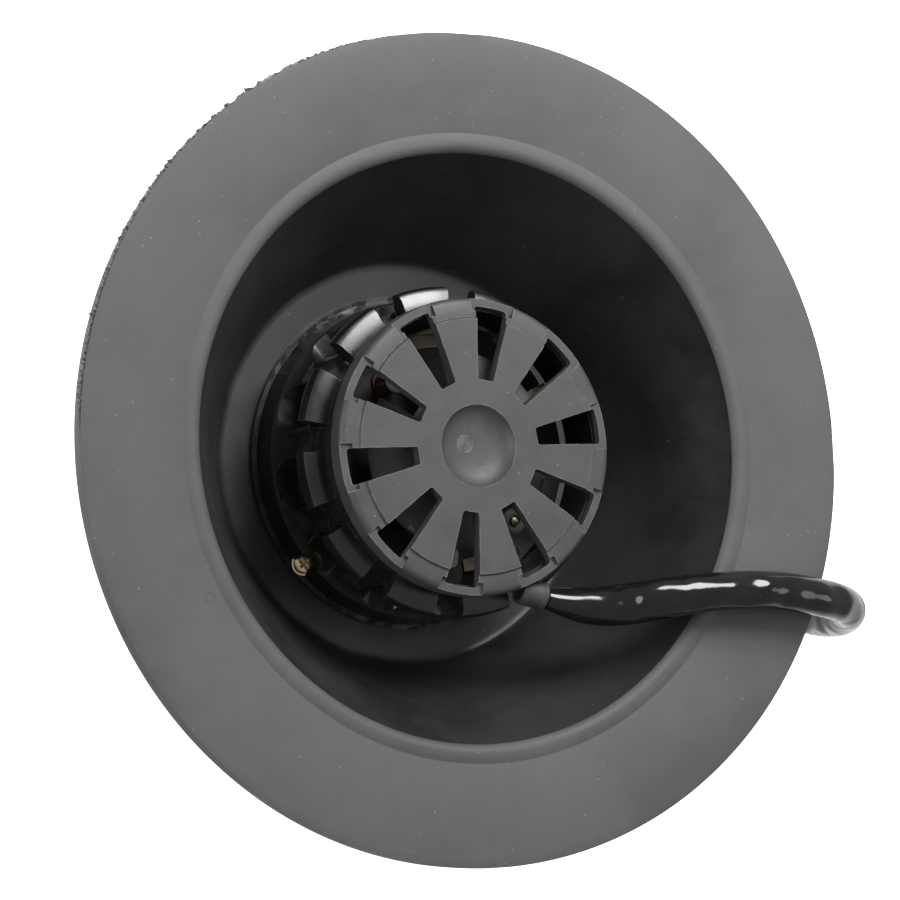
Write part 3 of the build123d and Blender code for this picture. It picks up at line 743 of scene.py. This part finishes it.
def makeEndCap(s):
    face = high("vent_cap")
    foot = face - 6.1
    rim = reach("vent_cap")
    outline = [(0, face - 3.0), (4.5, face - 2.95), (7.2, face - 2.5), (9.0, face - 1.6),
               (9.9, face - 0.75),
               (10.4, face), (rim - 5.5, face), (rim - 5.0, face - 0.75), (rim - 1.7, face - 0.75),
               (rim - 0.9, face - 1.0), (rim - 0.25, face - 1.6), (rim, face - 2.5), (rim, foot),
               (rim - 1.6, foot), (rim - 1.6, face - 4.0), (rim - 6.0, face - 3.2), (8.7, face - 3.2),
               (8.7, face - 10.8), (6.5, face - 10.8), (6.5, face - 5.2), (0, face - 5.2)]
    cap = spun("endCap", outline, 240)
    slot = sector("slot", s["slotInner"], s["slotOuter"], 0, s["slotWidth"], face - 6.5, face + 2, 6)
    slot = bevelled(slot, s["slotSoft"], 4, 50)
    step = sector("step", s["slotOuter"] - 1.3, rim + 2, 0, s["stepWidth"],
                  face - s["stepDrop"], face + 3, 6)
    slots = around(slot, s["slots"], s["firstSlot"])
    steps = around(step, s["slots"], s["firstSlot"])
    carved(cap, [slots, steps])
    carved(cap, [leadPassage(passageSet)])
    bevelled(cap, s["soft"], 2, 40)
    marks = []
    for radius in s["gateRings"]:
        ring = raisedRing("gateRing", radius, 0.14, face - 3.1, face - 2.86, 40)
        marks.append(moved(ring, *s["gate"], 0))
    cap = joined([cap] + marks)
    smoothed(cap, 32)
    return placed(paint(cap, "capPlastic"), "stator", "vent_cap")


makeEndCap(capSet)
print("end cap made")

# cage: ring of twelve bars, windows below them and flared pillars between
cageSet = {
    "neck": 35.9,                      # radii: neck in the cap, bore, waist behind the bars, ring of bars
    "inner": 34.9,
    "waist": 38.4,
    "ring": 42.5,
    "bars": 12,
    "firstBar": 9.85,
    "barWidth": 19.0,
    "windowSoft": 4.2,
    "hollow": 4.6,                     # radius of the hollow down each pillar's face
    "hollowDepth": 0.9,
    "pocket": 3.2,                     # room round a screw's head, and round its shank
    "shank": 1.8,
    "soft": 0.35,
}


def makeCage(s):
    foot, neckTop = low("motor_cage"), high("motor_cage")
    ringTop = neckTop - 8.8
    ringFoot = ringTop - 5.7
    bandTop = foot + 8.3
    neck, inner, waist, ring = s["neck"], s["inner"], s["waist"], s["ring"]
    outline = [(inner, neckTop), (neck, neckTop), (neck, ringTop), (ring - 1.9, ringTop),
               (ring - 0.7, ringTop - 0.7), (ring, ringTop - 2.2), (ring, ringFoot + 1.6),
               (ring - 0.8, ringFoot), (waist, ringFoot), (waist, bandTop + 7)]
    outline += [(waist + 0.12, bandTop + 5), (waist + 0.5, bandTop + 3), (waist + 1.3, bandTop + 1.2),
                (41.0, bandTop), (41.5, bandTop - 0.4), (43.0, foot + 1.9), (44.1, foot + 1.9),
                (44.1, foot), (30.2, foot), (30.2, foot + 2.5), (inner, foot + 2.5), (inner, neckTop)]
    cage = spun("motorCage", outline, 240)
    width = 2 * waist * sin(radians(s["barWidth"] / 2))
    window = block("window", (14, width, ringFoot - bandTop), (40, 0, (ringFoot + bandTop) / 2))
    weighLowerEdges(window)
    applied(window, "BEVEL", width=s["windowSoft"] * mm, segments=6, limit_method="WEIGHT",
            affect="EDGES")
    windows = around(window, s["bars"], s["firstBar"])
    half = 180 / s["bars"]
    notch = sector("notch", neck, 48, 0, 360 / s["bars"] - s["barWidth"], ringFoot, ringTop + 2, 4)
    notches = around(notch, s["bars"], s["firstBar"] + half)
    hollow = spun("hollow", [(0, bandTop + 3), (s["hollow"], bandTop + 3), (s["hollow"], ringFoot + 1),
                             (0, ringFoot + 1)], 40)
    hollow = moved(hollow, waist + s["hollow"] - s["hollowDepth"], 0, 0)
    hollows = around(hollow, s["bars"], s["firstBar"] + half)
    carved(cage, [windows, notches, hollows])
    cutters = []
    for angle in screwPlace["angles"]:
        cutters.append(screwCutter(s["pocket"], foot + 2.5, bandTop + 1, angle, 32))
        cutters.append(screwCutter(s["shank"], foot - 1, foot + 3, angle, 24))
    carved(cage, cutters + [leadPassage(passageSet)])
    bevelled(cage, s["soft"], 3, 40)
    smoothed(cage, 32)
    return placed(paint(cage, "cagePlastic"), "stator", "motor_cage")


def weighLowerEdges(obj):              # the two lower edges that run outwards get the rounding
    lowest = min(vertex.co.z for vertex in obj.data.vertices)
    weights = obj.data.attributes.new("bevel_weight_edge", "FLOAT", "EDGE")
    for edge in obj.data.edges:
        a, b = [obj.data.vertices[i].co for i in edge.vertices]
        outwards = abs(a.x - b.x) > 5 * mm
        weights.data[edge.index].value = 1.0 if outwards and max(a.z, b.z) < lowest + mm else 0.0


makeCage(cageSet)
print("cage made")

# brush gear seen through the slots
coverSet = {
    "inner": 12.0,
    "outer": 25.4,
    "openings": ((131, 34), (0, 30), (308, 30), (283, 12)),   # where each lies, and how wide, in degrees
    "soft": 0.3,
}


def makeBrushCover(s):
    top, foot = high("brush_cover"), low("brush_cover")
    outline = [(s["inner"], top - 1.6), (s["inner"], top - 0.4), (s["inner"] + 1.4, top), (17.5, top - 0.1),
               (s["outer"] - 1.6, top - 1.5), (s["outer"], top - 2.4), (s["outer"] - 0.9, top - 2.6),
               (s["outer"] - 2.4, top - 2.4), (17.0, top - 1.4), (s["inner"], top - 1.6)]
    cover = spun("brushCover", outline, 160)
    cutters = [sector("opening", 15.5, 27, angle, width, top - 4, top + 2, 8)
               for angle, width in s["openings"]]
    carved(cover, cutters)
    legs = [sector("leg", s["outer"] - 2.4, s["outer"] - 0.2, angle, 8, foot, top - 1.6, 3)
            for angle in (76, 166, 236, 346)]
    cover = joined([cover] + legs)
    bevelled(cover, s["soft"], 2, 40)
    smoothed(cover)
    return placed(paint(cover, "coverPlastic"), "stator", "brush_cover")


makeBrushCover(coverSet)


def helix(name, wire, radius, pitch, turns, middle, foot, steps=28):
    deselectAll()
    bpy.ops.mesh.primitive_circle_add(vertices=10, radius=wire * mm, location=(radius * mm, 0, 0),
                                      rotation=(pi / 2, 0, 0))
    coil = bpy.context.object
    coil.name = name
    bpy.ops.object.transform_apply(location=True, rotation=True, scale=True)
    applied(coil, "SCREW", angle=2 * pi, iterations=turns, steps=steps, render_steps=steps,
            screw_offset=pitch * mm, use_smooth_shade=True)
    pick(coil)
    bpy.ops.object.mode_set(mode="EDIT")
    bpy.ops.mesh.select_all(action="SELECT")
    bpy.ops.mesh.normals_make_consistent(inside=False)
    bpy.ops.mesh.select_all(action="DESELECT")
    bpy.ops.mesh.select_non_manifold()
    bpy.ops.mesh.edge_face_add()
    bpy.ops.object.mode_set(mode="OBJECT")
    return moved(coil, middle[0], middle[1], foot)


# chokes: ferrite bobbins with a layer of enamelled wire and a brass tipped core
chokeSet = {"wire": 0.34, "turns": 8, "bobbin": 3.35, "core": 1.9, "tip": 1.1}


def makeChoke(s, node):
    lowCorner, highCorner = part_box(node)
    x, y = [(lowCorner[i] + highCorner[i]) / 2 / mm for i in (0, 1)]
    foot, top = low(node), high(node)
    flange, core = s["bobbin"], s["core"]
    outline = [(0, foot), (flange, foot), (flange, foot + 0.9), (core, foot + 0.9), (core, top - 1.5),
               (flange, top - 1.5), (flange, top - 0.7), (s["tip"] + 0.5, top - 0.5),
               (s["tip"] + 0.5, top - 1.0), (0, top - 1.0)]
    bobbin = spun(node + "Bobbin", outline, 48)
    bobbin = moved(smoothed(bevelled(bobbin, 0.14, 2)), x, y, 0)
    placed(paint(bobbin, "chokeFerrite"), "stator", node)
    outline = [(0, top - 1.2), (s["tip"], top - 1.2), (s["tip"], top - 0.2), (s["tip"] * 0.6, top),
               (0, top)]
    tip = spun(node + "Tip", outline, 32)
    tip = moved(smoothed(bevelled(tip, 0.1, 2)), x, y, 0)
    placed(paint(tip, "holderBrassPaintedShade"), "stator", None)
    pitch = (top - foot - 3.2) / s["turns"]
    coil = helix(node + "Coil", s["wire"], s["core"] + 0.55, pitch, s["turns"], (x, y), foot + 1.2)
    placed(paint(coil, "windingCopper"), "stator", None)


makeChoke(chokeSet, "choke_a")
makeChoke(chokeSet, "choke_b")

# brush springs: real coils
springSet = {
    "wire": 0.28,
    "radius": 1.8,
    "turns": 7,
    "inner": 23.3,
    "outer": 31.2,
    "angles": (26.4, 206.4),
}


def makeBrushSpring(s, node, angle):
    height = (low(node) + high(node)) / 2
    pitch = (s["outer"] - s["inner"] - 2 * s["wire"]) / s["turns"]
    coil = helix(node + "Coil", s["wire"], s["radius"], pitch, s["turns"], (0, 0), 0, 20)
    pick(coil)
    coil.rotation_euler = (0, pi / 2, 0)
    coil.location = ((s["inner"] + s["wire"]) * mm, 0, height * mm)
    bpy.ops.object.transform_apply(location=True, rotation=True, scale=True)
    turned(coil, angle)
    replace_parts(paint(coil, "springSteel"), node)
    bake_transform(coil)


makeBrushSpring(springSet, "brush_spring_a", springSet["angles"][0])
makeBrushSpring(springSet, "brush_spring_b", springSet["angles"][1])
print("brush gear made")

# armature windings: twelve overlapping bundles at each end of the core
windingSet = {
    "bundles": 12,
    "thick": 1.15,
    "radius": 12.6,
    "span": 118,
    "inset": 2.8,                      # bundle middle below the winding's end
    "tilt": 7,
    "shift": 2.4,
}


def makeWindings(s):
    bundles = []
    foot, top = low("armature_windings"), high("armature_windings")
    for level in (top - s["inset"], foot + s["inset"]):
        deselectAll()
        bpy.ops.mesh.primitive_circle_add(vertices=12, radius=s["thick"] * mm, fill_type="NGON",
                                          location=(s["radius"] * mm, 0, 0), rotation=(pi / 2, 0, 0))
        bundle = bpy.context.object
        bpy.ops.object.transform_apply(location=True, rotation=True, scale=True)
        bpy.ops.object.mode_set(mode="EDIT")
        bpy.ops.mesh.select_all(action="SELECT")
        bpy.ops.mesh.spin(steps=18, angle=radians(s["span"]), center=(0, 0, 0), axis=(0, 0, 1))
        cleanUp(bundle)
        turned(bundle, s["span"] / 2)
        pick(bundle)
        bundle.rotation_euler = (0, radians(s["tilt"]), 0)
        bundle.location = (s["shift"] * mm, 0, level * mm)
        bpy.ops.object.transform_apply(location=True, rotation=True, scale=True)
        bundles.append(around(bundle, s["bundles"]))
    windings = joined(bundles)
    windings.name = "armatureWindings"
    smoothed(windings, 60)
    return placed(paint(windings, "windingCopper"), "rotor", "armature_windings")


makeWindings(windingSet)

# fan wheel: turned hub, dome and plate, forty curved blades and the inlet ring
wheelSet = {
    "rim": 60.0,
    "blades": 40,
    "bladeRoot": 48.0,
    "bladeTip": 59.4,
    "bladeThick": 1.2,
    "ringWidth": 5.0,
    "ringHeight": 2.5,
    "soft": 0.3,
}


def makeFanWheel(s):
    rim = s["rim"]
    top, foot = high("fan_wheel"), low("fan_wheel")
    shaft = reach("motor_shaft")
    hub = [(shaft, foot + 3), (7.0, foot + 3), (8.0, foot + 4), (8.0, foot + 9.5), (30.5, foot + 9.5),
           (33.0, foot + 10.2), (34.4, foot + 12.5), (35.4, top - 2), (rim, top - 2), (rim, top),
           (33.4, top), (31.8, foot + 12.6), (30.8, foot + 11.5), (shaft, foot + 11.5), (shaft, foot + 3)]
    wheel = bevelled(spun("fanWheel", hub, 200), s["soft"], 2, 40)
    bore, crest = rim - s["ringWidth"], foot + s["ringHeight"]
    ring = [(bore, foot), (rim - 0.6, foot), (rim, foot + 0.6), (rim, crest), (bore + 1, crest),
            (bore, foot + 1.4), (bore, foot)]
    inlet = bevelled(spun("inletRing", ring, 200), s["soft"] / 2, 2, 40)
    camber = []
    for index in range(9):
        share = index / 8
        out = s["bladeRoot"] + (s["bladeTip"] - s["bladeRoot"]) * share
        camber.append((out, 5.6 * share - 5.2 * sin(pi * share) * 0.5))
    blade = drawOutline("blade", camber, "XY")
    bpy.ops.mesh.extrude_edges_move(TRANSFORM_OT_translate={"value": (0, 0, (top - foot - 2.4) * mm)})
    bpy.ops.object.mode_set(mode="OBJECT")
    applied(blade, "SOLIDIFY", thickness=s["bladeThick"] * mm, offset=0)
    bevelled(blade, 0.25, 2, 40)
    moved(blade, 0, 0, foot + 1.2)
    blades = around(blade, s["blades"])
    ribs = []
    for index in range(6):
        rib = block("rib", (22.5, 1.4, 4.2), (19.0, 0, foot + 7.6))
        ribs.append(turned(bevelled(rib, 0.3, 2), 30 + index * 60))
    wheel = joined([wheel, inlet, blades] + ribs)
    smoothed(wheel, 32)
    return placed(paint(wheel, "fanPlastic"), "rotor", "fan_wheel")


makeFanWheel(wheelSet)
print("fan wheel made")

# motor can: drawn steel cup with a rounded shoulder and a row of staked dimples
canSet = {"shoulder": 3.0, "dimples": 6}


def makeCan(s):
    top, foot = high("motor_can"), low("motor_can")
    bottom = foot + 3.5
    radius = reach("motor_can")
    soft = s["shoulder"]
    outline = [(radius, top)] + arc((radius - soft, bottom + soft), soft, 0, -90, 6)
    outline += [(10.4, bottom), (8.9, bottom - 0.5), (8.6, bottom - 1.2), (8.6, foot + 0.5), (8.1, foot),
                (4.6, foot), (4.6, foot + 1.4), (6.5, foot + 1.4), (6.5, bottom + 1.8),
                (radius - 4.2, bottom + 1.8), (radius - 2.6, bottom + 2.4), (radius - 1.8, bottom + 4.0),
                (radius - 1.8, top), (radius, top)]
    can = spun("motorCan", outline, 160)
    dimple = spun("dimple", [(0, -1), (1.3, -1), (1.3, 0.7), (0, 0.9)], 24)
    pick(dimple)
    dimple.rotation_euler = (0, pi / 2, 0)
    dimple.location = ((radius - 0.3) * mm, 0, (top - 6) * mm)
    bpy.ops.object.transform_apply(location=True, rotation=True, scale=True)
    carved(can, [around(dimple, s["dimples"], 12)])
    bevelled(can, 0.15, 2, 40)
    smoothed(can)
    return placed(paint(can, "canSteel"), "stator", "motor_can")


makeCan(canSet)

# screws: pan heads with a cross recess and a captive washer
screwSet = {"head": 2.6, "washer": 3.0, "cross": 0.62}


def makeScrews(s):
    seat, tip = low("motor_cage") + 2.5, low("cage_screws")
    washer, head = s["washer"], s["head"]
    outline = [(0, tip), (1.2, tip), (1.5, tip + 0.4), (1.5, seat), (washer, seat), (washer, seat + 0.4),
               (head, seat + 0.45), (head - 0.1, seat + 1.1), (head - 0.8, seat + 1.6), (0, seat + 1.8)]
    screw = spun("cageScrew", outline, 48)
    for size in ((s["cross"], 3.0, 1.6), (3.0, s["cross"], 1.6)):
        carved(screw, [block("cross", size, (0, 0, seat + 1.9))])
    bevelled(screw, 0.07, 2, 35)
    moved(screw, screwPlace["circle"], 0, 0)
    screws = around(screw, len(screwPlace["angles"]), screwPlace["angles"][0])
    screws.name = "cageScrews"
    smoothed(screws)
    return placed(paint(screws, "screwZinc"), "stator", "cage_screws")


makeScrews(screwSet)
print("can and screws made")

# grommet: soft bush with a small rounded collar where the lead leaves
grommetSet = {"bush": 3.5, "collar": 3.7}


def makeGrommet(s):
    bush, collar = s["bush"], s["collar"]
    outline = [(2.5, -8), (bush, -8), (bush, -2.2), (collar, -2.0), (collar + 0.1, -1.2),
               (collar - 0.5, -0.6), (2.7, -0.5), (2.5, -8)]
    grommet = smoothed(bevelled(spun("leadGrommet", outline, 64), 0.12, 2))
    alongLead(grommet)
    return placed(paint(grommet, "grommetRubber"), "stator", "lead_grommet")


makeGrommet(grommetSet)

# carried over CAD nodes: their shape is right, so they get soft edges and a finish
keptNodes = {
    "clamp_ring": ("clampSteel", 0.25), "field_magnets": ("magnetFerrite", 0.4),
    "magnet_clips": ("springSteel", 0.15),
    "cap_bearing": ("bearingBronze", 0.15), "drive_bearing": ("bearingBronze", 0.15),
    "cap_bearing_retainer": ("springSteel", 0.1), "drive_bearing_retainer": ("springSteel", 0.1),
    "motor_shaft": ("shaftSteel", 0.0), "thrust_washers": ("insulatorFibre", 0.1),
    "commutator": ("commutatorCopper", 0.12), "armature_core": ("coreSteel", 0.15),
    "armature_insulators": ("insulatorFibre", 0.1), "brush_card": ("cardLaminatePaintedShade", 0.2),
    "brush_holder_a": ("holderBrassPaintedShade", 0.15), "brush_holder_b": ("holderBrassPaintedShade", 0.15),
    "brush_a": ("brushCarbon", 0.25), "brush_b": ("brushCarbon", 0.25),
    "suppression_capacitor": ("capacitorShell", 0.6), "terminal_straps": ("holderBrassPaintedShade", 0.15),
    "wheel_clip": ("springSteel", 0.1), "connector_housing": ("connectorPlastic", 0.35),
    "connector_terminals": ("terminalTin", 0.15),
}
for node, (finish, soft) in keptNodes.items():
    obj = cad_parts[node]
    paint(obj, finish)
    if soft:
        bevel = obj.modifiers.new("soft", "BEVEL")
        bevel.width = soft * mm
        bevel.segments = 2
        bevel.limit_method = "ANGLE"
        bevel.angle_limit = radians(35)
        bevel.harden_normals = True
print("kept nodes finished")

# floor and lights
floorSet = {"size": 6.0, "tone": 0.9, "glow": 1.0}


def makeFloor(s):
    deselectAll()
    bpy.ops.mesh.primitive_plane_add(size=s["size"], location=(0, 0, -0.0005))
    floor = bpy.context.object
    floor.name = "studioFloor"
    material = bpy.data.materials.new("studioPaper")
    material.use_nodes = True
    tree = material.node_tree
    shader = tree.nodes["Principled BSDF"]
    shader.inputs["Base Color"].default_value = (s["tone"], s["tone"], s["tone"], 1)
    shader.inputs["Roughness"].default_value = 0.9
    seen = tree.nodes.new("ShaderNodeLightPath").outputs["Is Camera Ray"]
    shader.inputs["Emission Color"].default_value = (1, 1, 1, 1)
    dim = tree.nodes.new("ShaderNodeMath")
    dim.operation = "MULTIPLY"
    dim.inputs[1].default_value = s["glow"]
    tree.links.new(seen, dim.inputs[0])
    tree.links.new(dim.outputs["Value"], shader.inputs["Emission Strength"])
    floor.data.materials.append(material)


makeFloor(floorSet)

lightAim = Vector((0, 0, 0.06))
lightSet = {
    "top": {"from": (0.14, 0.37, 0.52), "size": 0.34, "power": 5.4},
    "right": {"from": (0.80, -0.10, 0.72), "size": 0.5, "power": 1.6},
    "left": {"from": (-0.82, 0.02, 0.46), "size": 0.6, "power": 5.0},
}


def makeLights(s):
    for name, light in s.items():
        deselectAll()
        bpy.ops.object.light_add(type="AREA", location=light["from"])
        lamp = bpy.context.object
        lamp.name = name + "Light"
        lamp.data.shape = "DISK"
        lamp.data.size = light["size"]
        lamp.data.energy = light["power"]
        towards = lightAim - Vector(light["from"])
        lamp.rotation_euler = towards.to_track_quat("-Z", "Y").to_euler()


makeLights(lightSet)

world = bpy.data.worlds.new("studioWorld")
scene.world = world
world.use_nodes = True
world.node_tree.nodes["Background"].inputs["Color"].default_value = (1, 1, 1, 1)
world.node_tree.nodes["Background"].inputs["Strength"].default_value = 0.4
print("studio set")
